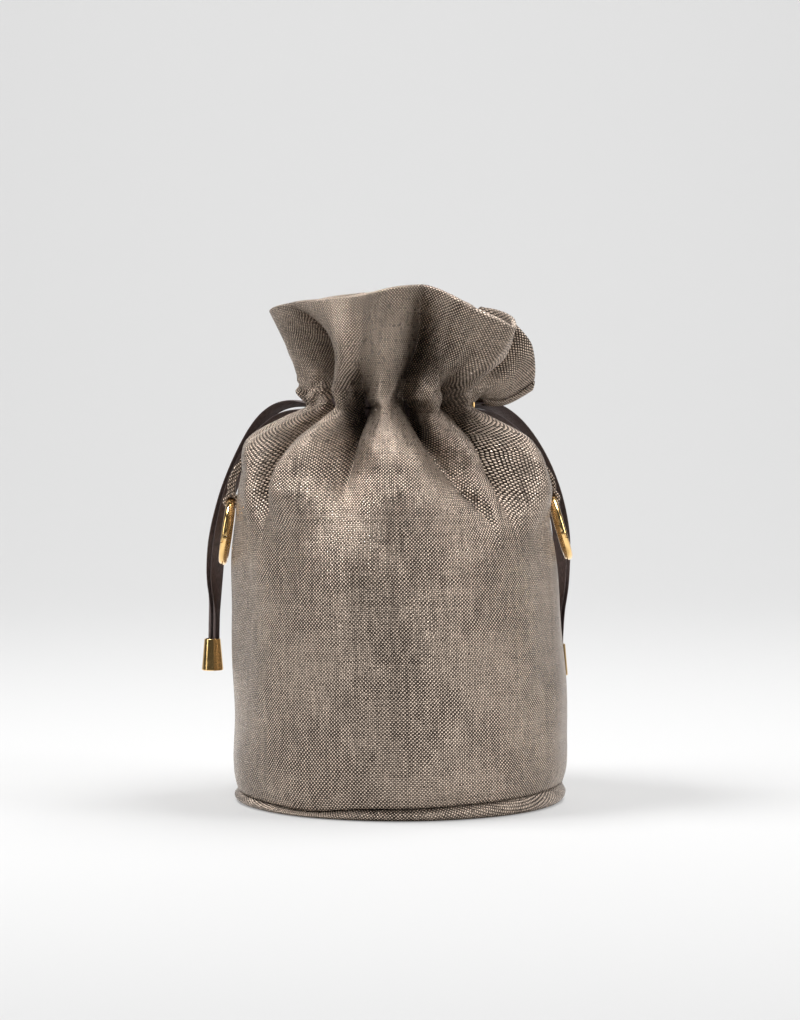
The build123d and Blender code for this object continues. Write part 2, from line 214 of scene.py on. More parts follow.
# %% Folds of the front: degrees round from the front (right is positive) and mm out, at each of these levels
FOLD_LEVELS = ("rim", "frill", "throat", "neck", "crook", "brow", "shoulder", "wall")
FOLD_TABLE = [
    [(-84, 0), (-84, 1), (-78, 3), (-74, 4), (-73, 6), (-70, 6), (-63, 3)],
    [(-58, -3), (-48, -17), (-50, -11), (-50, -8), (-51, -9), (-53, -10), (-54, -7)],
    [(-28, 3), (-28, 7), (-35, 6), (-34, 8), (-34, 8), (-36, 7), (-42, 6)],
    [(-16, 1), (-20, 2), (-22, -7), (-20, -10), (-20, -12), (-20, -9), (-19, -5)],
    [(-6, 1), (-8, 2), (-8, 5), (-3, 10), (-2, 11), (0, 8), (4, 5)],
    [(8, -3), (13, -12), (10, -8), (14, -11), (16, -12), (21, -11), (29, -9), (40, -3)],
    [(20, 0), (26, -3), (26, 6), (30, 6), (32, 4), (36, 1), (41, -3)],
    [(30, 4), (38, 2), (42, -8), (46, -10), (48, -10), (49, -9), (50, -7), (49, -3)],
    [(43, 14), (52, 10), (57, 4), (60, 6), (61, 7), (62, 8), (63, 6)],
    [(58, -17), (67, -13), (69, -5), (72, -3), (74, -2), (76, 0), (78, 1)],
    [(78, -1), (82, 0), (82, 1), (82, 1), (84, 1), (85, 1), (87, 0)],
    [(97, -2), (97, -2), (97, 0), (97, 0), (97, 0), (97, 0), (97, 0)],
]
FRONT_FOLDS = [[(level, *key) for level, key in zip(FOLD_LEVELS, fold)] for fold in FOLD_TABLE]
# The back is gathered the same way, but more evenly.
BACK_FOLDS = 11
BACK_START, BACK_END = 104.0, 264.0


def back_folds():
    rng = np.random.default_rng(7)
    folds = []
    for k in range(BACK_FOLDS):
        middle = BACK_START + (BACK_END - BACK_START) * (k + 0.5) / BACK_FOLDS
        sign = -1 if k % 2 == 0 else 1
        reach = rng.uniform(0.8, 1.2)
        drift = rng.uniform(-3, 3, 3)
        folds.append([
            ("rim", middle + drift[0], sign * 4.0 * reach),
            ("frill", middle + drift[1], sign * 6.5 * reach),
            ("throat", middle, sign * 5.5 * reach),
            ("neck", middle, sign * 7.0 * reach),
            ("crook", middle, sign * 7.5 * reach),
            ("shoulder", middle + drift[2], sign * 4.2 * reach),
        ])
    return folds


CREASE = 0.8  # 0 for waves, 1 for tubes with sharp creases between them
PINCH_DEPTH, PINCH_SHARE, PINCH_WIDTH = 3.0, 0.4, 2.8  # mm, part of the crease's depth, degrees
# how much of each fold's height is used at a level
DEPTHS = {
    "wall": 0.5, "shoulder": 1.75, "brow": 1.9, "crook": 1.25,
    "neck": 1.0, "throat": 1.2, "frill": 1.45, "rim": 1.15,
}


def fold_field(folds, s, around):
    """How far out the folds push the wall, in mm, at level s for the angles around (-180 to 180 degrees)."""
    angles, heights = [], []
    for fold in folds:
        keys = list(reversed(fold))
        if keys[0][0] != "wall":
            keys.insert(0, ("wall", keys[0][1], keys[0][2] * 0.2))
        levels = [LEVELS["belly"]] + [LEVELS[key[0]] for key in keys]
        degrees = [keys[0][1]] + [key[1] for key in keys]
        out = [0.0] + [key[2] * DEPTHS[key[0]] for key in keys]
        angles.append(float(along(levels, degrees, s)))
        heights.append(float(along(levels, out, s)) if s > LEVELS["belly"] else 0.0)
    order = np.argsort(angles)
    angles, heights = np.array(angles)[order], np.array(heights)[order]
    angles = np.concatenate([angles - 360, angles, angles + 360])
    heights = np.tile(heights, 3)
    i = np.clip(np.searchsorted(angles, around, side="right") - 1, 0, len(angles) - 2)
    t = (around - angles[i]) / (angles[i + 1] - angles[i])
    low, high = np.minimum(heights[i], heights[i + 1]), np.maximum(heights[i], heights[i + 1])
    up = np.where(heights[i + 1] >= heights[i], t, 1 - t)
    # round along the top of a fold, and sharper down in its crease
    rise = (1 - CREASE) * up * up * (3 - 2 * up) + CREASE * np.sin(up * math.pi / 2)
    out = low + (high - low) * rise
    # a narrow pinch runs along the bottom of each deep crease
    for angle, depth in zip(angles, heights):
        pinch = min(PINCH_DEPTH, PINCH_SHARE * max(0.0, -depth - 3.0))
        out = out - pinch * np.exp(-(((around - angle) / PINCH_WIDTH) ** 2))
    return out


# %% Soft unevenness that stuffed cloth has
def lumps(x, y, z, seed=3):
    """A few broad waves of different direction, between about -1 and 1."""
    rng = np.random.default_rng(seed)
    total = np.zeros_like(x)
    for _ in range(7):
        direction = rng.normal(size=3)
        direction /= np.linalg.norm(direction)
        length = rng.uniform(28, 70)
        distance = x * direction[0] + y * direction[1] + z * direction[2]
        total += np.sin(2 * math.pi * distance / length + rng.uniform(0, 6.3))
    return total / 3.5


def crumple(around, s, seed=11):
    """Small creases of bunched cloth close to the drawstring, between about -1 and 1."""
    rng = np.random.default_rng(seed)
    total = np.zeros_like(around)
    for _ in range(9):
        turns, climb = rng.integers(14, 44), rng.uniform(-160, 160)
        wave = np.sin(np.radians(around) * turns + climb * s + rng.uniform(0, 6.3))
        total += np.sign(wave) * np.abs(wave) ** 1.6
    return total / 4


def gathers(around, s, seed=5):
    """Small folds that run down from the drawstring: round on top, with a sharp crease between them."""
    rng = np.random.default_rng(seed)
    total = np.zeros_like(around)
    for turns in (17, 23, 31):
        lean, start = rng.uniform(-30, 30), rng.uniform(0, 6.3)
        angle = np.radians(around) * turns / 2 + lean * (s - LEVELS["neck"]) + start
        total += np.abs(np.sin(angle)) ** 0.7 - 0.6
    return total


# %% The seam between wall and base wanders up and down
SEAM_HEIGHTS = [
    (-180, 5.5), (-130, 5.0), (-95, 6.0), (-75, 5.4), (-52, 4.4), (-34, 3.2), (-14, 5.4), (8, 6.0), (30, 7.0),
    (52, 7.8), (75, 9.0), (100, 7.6), (140, 5.4), (180, 5.5),
]


def seam_lift(around):
    return along(*zip(*SEAM_HEIGHTS), (np.asarray(around) + 180) % 360 - 180) - OVALS["seam"][0]


# %% The wall's surface
CLOTH_WIDTH = 471.0  # round the cut tube, in mm
CLOTH_HEIGHT = 268.0
ALL_FOLDS = FRONT_FOLDS + back_folds()
LOW_RIM_SPREAD = 0.03  # how far out the frill leans, for each mm that its rim is low
LOW_RIM_SAG = 0.14  # how far it sags halfway up, in the same way
SAG_STARTS = 12.0  # mm below the highest rim
LUMPS, GATHERS, CRUMPLES, STRING_GROOVE = 0.9, 1.9, 2.1, 1.0  # mm


def wall_points(around, rows):
    """Points in mm of the wall for angles around (degrees) at each level in rows."""
    phi = np.radians(around)
    rim = along(*zip(*RIM_HEIGHTS), around)
    grid = np.empty((len(rows), len(around), 3))
    for r, s in enumerate(rows):
        z, a, b, lean = (float(along(level_places, [OVALS[n][i] for n in LEVELS], s)) for i in range(4))
        out = fold_field(ALL_FOLDS, s, (around + 180) % 360 - 180)
        above = max(0.0, (s - LEVELS["throat"]) / (1 - LEVELS["throat"]))
        height = np.full(len(around), z) if above <= 0 else z + (rim - OVALS["rim"][0]) * above
        # where the rim is low the frill leans further out, so that its cloth stays as long
        droop = np.clip(OVALS["rim"][0] - rim, 0, 40) * above
        if above > 0:
            sag = LOW_RIM_SAG * np.clip(OVALS["rim"][0] - rim - SAG_STARTS, 0, 40)
            height = height - sag * math.sin(math.pi * above)
        square = np.hypot(b * np.sin(phi), a * np.cos(phi))
        x = lean + a * np.sin(phi) + out * b * np.sin(phi) / square
        y = -b * np.cos(phi) - out * a * np.cos(phi) / square
        x = x + LOW_RIM_SPREAD * droop * np.sin(phi)
        grid[r] = np.stack([x, y, height], axis=-1)
    swell = lumps(grid[..., 0], grid[..., 1], grid[..., 2])
    rows = np.asarray(rows)
    fade = np.interp(rows, [0, 0.06, 0.2, 0.6, 0.75, 0.85, 1.0], [0.3, 0.8, 1.0, 1.0, 0.4, 0.3, 0.5])
    amount = LUMPS * swell * fade[:, None]
    from_neck = rows - LEVELS["neck"]
    gathered = np.exp(-(from_neck / np.where(from_neck < 0, 0.075, 0.05)) ** 2)
    near_string = np.exp(-((from_neck - 0.024) / 0.032) ** 2)
    for r, s in enumerate(rows):
        if gathered[r] > 0.02:
            amount[r] += GATHERS * gathered[r] * gathers(around, s)
        if near_string[r] > 0.02:
            amount[r] += CRUMPLES * near_string[r] * crumple(around, s)
            amount[r] -= STRING_GROOVE * math.exp(-((s - LEVELS["neck"]) / 0.009) ** 2)
        if s < LEVELS["low"]:
            grid[r, :, 2] += seam_lift(around) * (1 - s / LEVELS["low"])
    grid[..., 0] += amount * np.sin(phi)[None, :]
    grid[..., 1] -= amount * np.cos(phi)[None, :]
    return grid


# %% Front and back panel
COLUMNS = 200
ROWS = 200
SEAM_TUCK = 0.9  # mm that each panel's edge turns in at the side seam
LINEN_THICKNESS = 0.9
HEM_TURN = 1.05  # mm, radius of the turned edge at the rim
HEM_ROWS = 7
HEM_DEPTH = 12.0  # mm that the turned cloth runs down inside
row_places = np.linspace(0, 1, ROWS)
half = np.linspace(-90, 90, COLUMNS)


def outward_normals(grid):
    across = np.gradient(grid, axis=1)
    upward = np.gradient(grid, axis=0)
    normal = np.cross(across, upward)
    return normal / np.linalg.norm(normal, axis=-1, keepdims=True)


def with_hem(grid):
    """The rows of a panel, with its top edge turned over inwards and down."""
    normal = outward_normals(grid)[-1]
    rise = grid[-1] - grid[-2]
    rise /= np.linalg.norm(rise, axis=-1, keepdims=True)
    turned = []
    for angle in np.linspace(0, math.pi, HEM_ROWS)[1:]:
        turned.append(grid[-1] - normal * HEM_TURN * (1 - math.cos(angle)) + rise * HEM_TURN * math.sin(angle))
    gaps = np.linalg.norm(grid[-1] - grid, axis=-1).mean(axis=1)
    depth = [r for r in range(len(grid) - 2, 0, -3) if gaps[r] < HEM_DEPTH]
    inner = [grid[r] - outward_normals(grid)[r] * 2 * HEM_TURN for r in depth]
    return np.concatenate([grid, np.array(turned), np.array(inner)])


def panel(name, middle):
    around = half + middle
    grid = wall_points(((around + 180) % 360) - 180, row_places)
    edge = np.exp(-(np.minimum(half + 90, 90 - half)) / 0.8)
    grid = grid - outward_normals(grid) * (edge * SEAM_TUCK)[None, :, None]
    grid = with_hem(grid)
    u = np.radians(around) * CLOTH_WIDTH / (2 * math.pi)
    climb = np.linalg.norm(np.diff(grid, axis=0), axis=2).mean(axis=1)
    v = np.concatenate([[0], np.cumsum(climb)])
    uv = np.stack(np.broadcast_arrays(u[None, :], v[:, None]), axis=-1) * MM
    return grid_mesh(name, grid * MM, uv=uv)


front = panel("front_cloth", 0.0)
back = panel("back_cloth", 180.0)
for piece, node in ((front, "front_panel"), (back, "back_panel")):
    thicken(piece, LINEN_THICKNESS * MM)
    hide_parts(node)
    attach(piece, "pouch")
    tell(piece)

# %% [markdown]
# ## Lining
# The lining hangs just inside the linen and follows its folds. It is the same surface set in along its
# normals, which is how a sewn-in lining lies, and it stops under the hem at the rim.

# %% Lining tube
LINING_INSET = 2.3
LINING_TOP = 0.965
LINING_COLUMNS = 300
LINING_ROWS = 130
LINING_THICKNESS = 0.4
NECK_LEAN = OVALS["neck"][3]
LOOP_INSET = 1.6  # of the bunched ribbon, from the deepest crease at the neck
CHANNEL_ROOM = 2.2  # between the bunched ribbon's line and the lining


def drawn_ring(around, inset):
    """An even line inside the gathered neck, in mm: it clears every crease by the inset."""
    wall = wall_points(around, [LEVELS["neck"]])[0, :, :2]
    wall[:, 0] -= NECK_LEAN
    reach = np.hypot(wall[:, 0], wall[:, 1])
    step = max(1, round(9 * len(around) / 360))
    reach = np.min([np.roll(reach, k) for k in range(-step, step + 1)], axis=0)
    reach = np.mean([np.roll(reach, k) for k in range(-step, step + 1)], axis=0) - inset
    phi = np.radians(around)
    return np.stack([NECK_LEAN + reach * np.sin(phi), -reach * np.cos(phi)], axis=-1)


def lining_tube():
    around = np.linspace(-180, 180, LINING_COLUMNS, endpoint=False)
    places_up = np.linspace(0.0, LINING_TOP, LINING_ROWS)
    grid = wall_points(around, places_up)
    wrapped = np.concatenate([grid[:, -1:], grid, grid[:, :1]], axis=1)
    normal = outward_normals(wrapped)[:, 1:-1]
    for _ in range(3):
        normal = (np.roll(normal, 1, axis=1) + normal + np.roll(normal, -1, axis=1)) / 3
    grid = grid - normal * LINING_INSET
    ring = drawn_ring(around, LOOP_INSET + CHANNEL_ROOM)
    for r, s in enumerate(places_up):
        share = math.exp(-((s - LEVELS["neck"]) / 0.024) ** 2)
        grid[r, :, :2] = grid[r, :, :2] * (1 - share) + ring * share
    u = np.broadcast_to(np.radians(around)[None, :] * CLOTH_WIDTH / (2 * math.pi), grid.shape[:2])
    v = np.broadcast_to(places_up[:, None] * CLOTH_HEIGHT, grid.shape[:2])
    return grid_mesh("lining_tube", grid * MM, closed=True, uv=np.stack([u, v], axis=-1) * MM)


lining = lining_tube()
thicken(lining, LINING_THICKNESS * MM)
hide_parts("lining_wall")
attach(lining, "pouch")
tell(lining)

# %% [markdown]
# ## Round base
# The base is a disc of linen, larger than the stiff board it covers, so it rolls up round the board's edge and
# is sewn to the wall a few millimetres above the table. The seam wanders a little, as hand-turned seams do.

# %% Base
SEAM_RADIUS = 73.0
SEAM_HEIGHT = 5.4
BASE_COLUMNS = 240


def base_disc(name, profile, columns=BASE_COLUMNS):
    """A closed disc from (radius, height, how much it follows the seam's wave), middle first."""
    phi = np.linspace(0, 2 * math.pi, columns, endpoint=False)
    rows = []
    for radius, height, follow in profile:
        lift = height + follow * seam_lift(np.degrees(phi))
        puff = 0.25 * follow * np.sin(9 * phi + 1.0)
        rows.append(np.stack([(radius + puff) * np.sin(phi), -(radius + puff) * np.cos(phi), lift], axis=-1))
    grid = np.array(rows)
    profile = np.array(profile)
    reach = profile[0, 0] + np.concatenate([[0], np.cumsum(np.hypot(*np.diff(profile[:, :2], axis=0).T))])
    uv = reach[:, None, None] * np.stack([np.sin(phi), np.cos(phi)], axis=-1)[None]
    piece = grid_mesh(name, grid * MM, closed=True, uv=uv * MM)
    mesh = bmesh.new()
    mesh.from_mesh(piece.data)
    mesh.verts.ensure_lookup_table()
    bmesh.ops.contextual_create(mesh, geom=[mesh.verts[i] for i in range(columns)])
    bmesh.ops.recalc_face_normals(mesh, faces=mesh.faces)
    mesh.to_mesh(piece.data)
    mesh.free()
    return piece


roll = [(r, 0.0, 0.0) for r in (4, 20, 40, 60, 69)]
for turn in np.linspace(0.15, 1.0, 9):
    angle = turn * math.radians(100)
    roll.append((71.2 + 3.6 * math.sin(angle), 2.4 - 2.4 * math.cos(angle), turn ** 2 * 0.6))
roll.append((SEAM_RADIUS, SEAM_HEIGHT - 0.5, 1.0))
roll.append((SEAM_RADIUS - 1.6, SEAM_HEIGHT, 1.0))
base = base_disc("base_cloth", roll)
shade_smooth(base)
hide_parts("base_panel")
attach(base, "pouch")
tell(base)

low_floor, high_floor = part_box("lining_base")
floor_profile = [(r, high_floor.z / MM - 0.4 + 0.25 * math.cos(r / 5), 0.0) for r in (3, 12, 24, 36, 48, 58)]
floor_profile += [(67.0, high_floor.z / MM - 0.5, 0.0), (67.8, low_floor.z / MM + 0.1, 0.0)]
lining_floor = base_disc("lining_floor", floor_profile, 160)
shade_smooth(lining_floor)
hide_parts("lining_base")
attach(lining_floor, "pouch")
tell(lining_floor)

# %% [markdown]
# ## Satin ribbons
# Two ribbon ends leave each eyelet and hang down to a cone. Each is a strip of satin. Its line is
# one smooth spline through the route's control points, and the flat ribbon follows points read from that
# spline, twisting a little on its way and bunched where it leaves the metal.

# %% Routes of the ribbon ends: distance out from the eyelet and height
LEFT_OUTER_ROUTE = [
    (-2.9, 178.1), (6.0, 179.4), (15.5, 178.2), (23.8, 173.6), (30.6, 166.0), (36.6, 156.6), (42.2, 146.2),
    (47.2, 134.8), (50.6, 121.6), (52.6, 107.5), (53.6, 83.5), (54.0, 60.0),
]
LEFT_INNER_ROUTE = [
    (-2.9, 176.0), (6.0, 175.4), (15.3, 172.6), (23.0, 167.6), (29.6, 161.2), (35.6, 153.2), (40.8, 144.0),
    (44.8, 133.6), (47.8, 121.6), (50.0, 107.5), (51.2, 83.5), (51.6, 60.0),
]
RIGHT_OUTER_ROUTE = [
    (-3.4, 178.1), (5.8, 178.5), (15.5, 177.0), (24.6, 172.4), (33.0, 166.0), (41.0, 157.6), (48.2, 147.4),
    (54.2, 135.2), (58.4, 121.0), (59.0, 106.0), (56.8, 81.5), (55.9, 57.5),
]
RIGHT_INNER_ROUTE = [
    (-3.4, 176.0), (5.8, 175.3), (15.5, 171.6), (24.4, 166.4), (32.8, 160.2), (40.4, 152.6), (46.8, 143.4),
    (52.0, 132.0), (55.6, 119.0), (56.6, 105.0), (54.5, 81.5), (53.5, 57.5),
]
PULL_ANGLES = {"left": 152.0, "right": 41.0}
RIBBON_WIDTH = 6.0
RIBBON_THICKNESS = 0.28
RIBBON_COLUMNS = 13
# (share of the way down the ribbon, degrees of twist), and below it degrees that its section is curled
TWISTS = {
    "left_outer": [
        (0, -10), (0.08, -36), (0.2, -44), (0.36, -34), (0.5, -24), (0.65, -45), (0.8, -10), (0.86, 0), (1, 0),
    ],
    "left_inner": [
        (0, -10), (0.08, -40), (0.2, -62), (0.36, -58), (0.5, -40), (0.65, -55), (0.8, -14), (0.86, 0), (1, 0),
    ],
    "right_outer": [(0, 10), (0.08, 36), (0.2, 46), (0.36, 34), (0.55, 28), (0.7, 50), (0.85, 36), (1, 20)],
    "right_inner": [(0, 10), (0.08, 40), (0.2, 62), (0.36, 56), (0.55, 30), (0.7, 45), (0.85, 30), (1, 20)],
}
CURLS = [
    (0, 200), (0.06, 130), (0.18, 70), (0.35, 50), (0.55, 35), (0.76, 45), (0.84, 175), (0.92, 200), (1, 200),
]
LEAST_CURL = 0.25  # radians, so that a flat section still has a radius


def route_points(side, route):
    """The route in metres, in the upright plane through the middle of that side's eyelet."""
    low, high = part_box(f"{side}_eyelet")
    middle = (low.x + high.x) / 2
    angle = math.radians(PULL_ANGLES[side])
    return [(middle + out * MM * math.cos(angle), out * MM * math.sin(angle), z * MM) for out, z in route]


def smooth_line(name, points):
    """Points read from a spline that has the given control points."""
    data = bpy.data.curves.new(name, "CURVE")
    data.dimensions = "3D"
    data.resolution_u = 16
    spline = data.splines.new("NURBS")
    spline.points.add(len(points) - 1)
    for control, point in zip(spline.points, points):
        control.co = (*point, 1.0)
    spline.order_u = 3
    spline.use_endpoint_u = True
    carrier = bpy.data.objects.new(name, data)
    mesh = bpy.data.meshes.new_from_object(carrier)
    line = [v.co.copy() for v in mesh.vertices]
    bpy.data.objects.remove(carrier)
    bpy.data.curves.remove(data)
    bpy.data.meshes.remove(mesh)
    return line


def ribbon(name, line, across, twists):
    """A flat ribbon along a line: its width starts along across and turns by the twists."""
    points = np.array([tuple(p) for p in line])
    run = np.concatenate([[0], np.cumsum(np.linalg.norm(np.diff(points, axis=0), axis=1))])
    share = run / run[-1]
    tangent = np.gradient(points, axis=0)
    tangent /= np.linalg.norm(tangent, axis=1, keepdims=True)
    side = np.asarray(across, float)[None, :] - tangent * (tangent @ np.asarray(across, float))[:, None]
    side /= np.linalg.norm(side, axis=1, keepdims=True)
    lift = np.cross(side, tangent)
    twist = np.radians(along(*zip(*twists), share))
    curl = np.maximum(np.radians(along(*zip(*CURLS), share)), LEAST_CURL)
    wide = np.cos(twist)[:, None] * side + np.sin(twist)[:, None] * lift
    high = np.cross(wide, tangent)
    rows = np.empty((len(points), RIBBON_COLUMNS, 3))
    for j, w in enumerate(np.linspace(-0.5, 0.5, RIBBON_COLUMNS)):
        radius = RIBBON_WIDTH * MM / curl
        flat = radius * np.sin(w * curl)
        bow = radius * (np.cos(w * curl) - np.sinc(curl / 2 / math.pi))
        rows[:, j] = points + wide * flat[:, None] + high * bow[:, None]
    width = np.linspace(0, RIBBON_WIDTH * MM, RIBBON_COLUMNS)
    uv = np.stack(np.broadcast_arrays(width[None, :], run[:, None]), axis=-1)
    return grid_mesh(name, rows, uv=uv), run[-1]


# %% Ribbon ends, knots and cones
def knot_ball(side):
    """The overhand knot under the ribbons' ends: a flattened ball with turns of ribbon across it."""
    low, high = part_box(f"{side}_knot")
    middle, reach = (low + high) / 2, (high - low) / 2
    bpy.ops.object.select_all(action="DESELECT")
    bpy.ops.mesh.primitive_uv_sphere_add(segments=48, ring_count=24, radius=1.0, location=(0, 0, 0))
    ball = bpy.context.object
    ball.name = f"{side}_knot_ball"
    for v in ball.data.vertices:
        turns = 0.08 * math.sin(5 * math.atan2(v.co.y, v.co.x) + 4 * v.co.z)
        size = 0.9 + turns
        v.co = Vector((v.co.x * reach.x * size, v.co.y * reach.y * size, v.co.z * reach.z)) + middle
    shade_smooth(ball)
    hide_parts(f"{side}_knot")
    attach(ball, "pouch")
    return ball


ribbons = []
for side, routes in (
    ("left", {"outer": LEFT_OUTER_ROUTE, "inner": LEFT_INNER_ROUTE}),
    ("right", {"outer": RIGHT_OUTER_ROUTE, "inner": RIGHT_INNER_ROUTE}),
):
    knot = knot_ball(side)
    angle = math.radians(PULL_ANGLES[side])
    across = (math.sin(angle), -math.cos(angle), 0.0)
    for layer, route in routes.items():
        points = route_points(side, route)
        line = smooth_line("line", points)
        piece, length = ribbon(f"{side}_{layer}_satin", line, across, TWISTS[f"{side}_{layer}"])
        thicken(piece, RIBBON_THICKNESS * MM, offset=0.0)
        shade_smooth(piece)
        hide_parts(f"{side}_{layer}_ribbon")
        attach(piece, "pouch")
        ribbons.append(piece)
        print(piece.name, "length", round(length / MM, 1), "mm")
    ribbons.append(knot)


# %% Bunched ribbon inside the neck
def bunched_loop(side):
    """A bunched band that lies inside the gathered neck."""
    low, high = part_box(f"{side}_ribbon_loop")
    height = (low.z + high.z) / 2 / MM
    around = np.linspace(-180, 180, 240, endpoint=False)
    phi = np.radians(around)
    ring = drawn_ring(around, LOOP_INSET)
    rows = []
    for w in np.linspace(0, 2 * math.pi, 12, endpoint=False):
        creases = 0.2 * np.sin(23 * phi + 2 * w) + 0.12 * np.sin(41 * phi - w)
        out = (0.45 + creases) * math.cos(w)
        level = np.full(len(phi), height + 1.9 * math.sin(w))
        rows.append(np.stack([ring[:, 0] + out * np.sin(phi), ring[:, 1] - out * np.cos(phi), level], axis=-1))
    grid = np.array(rows + [rows[0]])
    piece = grid_mesh(f"{side}_bunched_satin", grid * MM, closed=True, uv=grid[..., :2] * MM)
    mesh = bmesh.new()
    mesh.from_mesh(piece.data)
    bmesh.ops.remove_doubles(mesh, verts=mesh.verts, dist=1e-6)
    bmesh.ops.recalc_face_normals(mesh, faces=mesh.faces)
    mesh.to_mesh(piece.data)
    mesh.free()
    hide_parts(f"{side}_ribbon_loop")
    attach(piece, "pouch")
    return piece


loops = [bunched_loop("left"), bunched_loop("right")]
for piece in ribbons + loops:
    tell(piece)

# %% [markdown]
# ## Tabs
# Each tab is a strip of the same linen, folded in half round the ring's wire and sewn into the side seam. It is
# one strip swept along its folded path: down the outside, under the wire and back up the inside.

# %% Tabs
TAB_WIDTH = 7.4
TAB_LAYER = 1.75  # two turned layers of linen
WIRE_RADIUS = 1.95
joints = {joint["name"]: joint for joint in frame["joints"]}


def tab(side, sign):
    root = Vector(joints[f"{side}_tab_lift"]["pos_m"]) / MM
    eye = Vector(joints[f"{side}_ring_swing"]["pos_m"]) / MM
    # middle of the two layers, as (outward from the eye, up from the eye)
    drop, reach = root.z - eye.z, sign * (root.x - eye.x)
    wrap = WIRE_RADIUS + TAB_LAYER / 2
    middle = [
        (reach - 2.8, drop + 0.2), (reach + 0.2, drop - 0.6), (0.5 * reach, 0.78 * drop),
        (0.12 * reach, 0.52 * drop), (0.0, 0.32 * drop), (0.0, wrap),
    ]
    line = smooth_line("middle", [(x * MM, 0.0, z * MM) for x, z in middle])
    trail = np.array([(p.x, p.z) for p in line]) / MM
    run = np.gradient(trail, axis=0)
    run /= np.linalg.norm(run, axis=1, keepdims=True)
    outward = np.stack([-run[:, 1], run[:, 0]], axis=-1) * TAB_LAYER / 2
    turn = np.array([(wrap * math.cos(a), -wrap * math.sin(a)) for a in np.radians(np.linspace(-66, 246, 22))])
    bends = np.concatenate([trail[:-4] + outward[:-4], turn, (trail - outward)[:-4][::-1]])
    points = np.stack([eye.x + sign * bends[:, 0], np.zeros(len(bends)), eye.z + bends[:, 1]], axis=-1) * MM
    columns = np.linspace(-0.5, 0.5, 11)
    rows = np.repeat(points[:, None, :], len(columns), axis=1)
    rows[:, :, 1] += columns[None, :] * TAB_WIDTH * MM
    run = np.concatenate([[0], np.cumsum(np.linalg.norm(np.diff(points, axis=0), axis=1))])
    uv = np.stack(np.broadcast_arrays(columns[None, :] * TAB_WIDTH * MM, run[:, None]), axis=-1)
    piece = grid_mesh(f"{side}_strap_tab", rows, uv=uv)
    solid = piece.modifiers.new("thickness", "SOLIDIFY")
    solid.thickness = TAB_LAYER * MM
    solid.offset = 0.0
    soft = piece.modifiers.new("soft_edge", "BEVEL")
    soft.width = 0.55 * MM
    soft.segments = 3
    soft.limit_method = "ANGLE"
    apply_all(piece)
    shade_smooth(piece)
    flat = piece.data.uv_layers["cloth"].data
    for loop in piece.data.loops:
        x, y, z = piece.data.vertices[loop.vertex_index].co
        flat[loop.index].uv = (x + y, z + 0.4 * x)
    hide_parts(f"{side}_tab")
    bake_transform(piece)
    tell(piece)
    return piece


tabs = [tab("left", -1), tab("right", 1)]

# %% [markdown]
# ## Finishes
# The linen is drawn thread by thread from the cloth's own flat coordinates, so the weave follows every fold.
# Warp and weft take turns on top, each thread has its own tone, and a few are thick or dark. The low gaps
# between
# threads are near black: partly openings in the weave, partly painted shade in its hollows. The shared effects
# are node groups: one for the weave, one for the fine wear on metal.

# %% Helpers for shader groups
def shader_group(name, inputs, outputs):
    group = bpy.data.node_groups.new(name, "ShaderNodeTree")
    for title, kind in inputs:
        group.interface.new_socket(title, in_out="INPUT", socket_type=kind)
    for title, kind in outputs:
        group.interface.new_socket(title, in_out="OUTPUT", socket_type=kind)
    return group, group.nodes.new("NodeGroupInput"), group.nodes.new("NodeGroupOutput")


def feed(tree, socket, value):
    if isinstance(value, bpy.types.NodeSocket):
        tree.links.new(value, socket)
    else:
        socket.default_value = value


def calc(tree, operation, *values, clamp=False):
    node = tree.nodes.new("ShaderNodeMath")
    node.operation = operation
    node.use_clamp = clamp
    for socket, value in zip(node.inputs, values):
        feed(tree, socket, value)
    return node.outputs[0]


def scaled(tree, vector, factors):
    node = tree.nodes.new("ShaderNodeVectorMath")
    node.operation = "MULTIPLY"
    feed(tree, node.inputs[0], vector)
    node.inputs[1].default_value = factors
    return node.outputs[0]


def noise(tree, vector, scale, detail=2.0, roughness=0.5):
    node = tree.nodes.new("ShaderNodeTexNoise")
    feed(tree, node.inputs["Vector"], vector)
    node.inputs["Scale"].default_value = scale
    node.inputs["Detail"].default_value = detail
    node.inputs["Roughness"].default_value = roughness
    return node.outputs["Fac"]


def ramp(tree, value, low, high, to_low=0.0, to_high=1.0):
    node = tree.nodes.new("ShaderNodeMapRange")
    node.interpolation_type = "SMOOTHSTEP"
    ends = {"From Min": low, "From Max": high, "To Min": to_low, "To Max": to_high}
    for title, v in {"Value": value, **ends}.items():
        feed(tree, node.inputs[title], v)
    return node.outputs["Result"]


def blend_colours(tree, factor, a, b):
    node = tree.nodes.new("ShaderNodeMix")
    node.data_type = "RGBA"
    feed(tree, node.inputs[0], factor)
    feed(tree, node.inputs[6], a)
    feed(tree, node.inputs[7], b)
    return node.outputs[2]


def blend_values(tree, factor, a, b):
    node = tree.nodes.new("ShaderNodeMix")
    feed(tree, node.inputs[0], factor)
    feed(tree, node.inputs[2], a)
    feed(tree, node.inputs[3], b)
    return node.outputs[0]


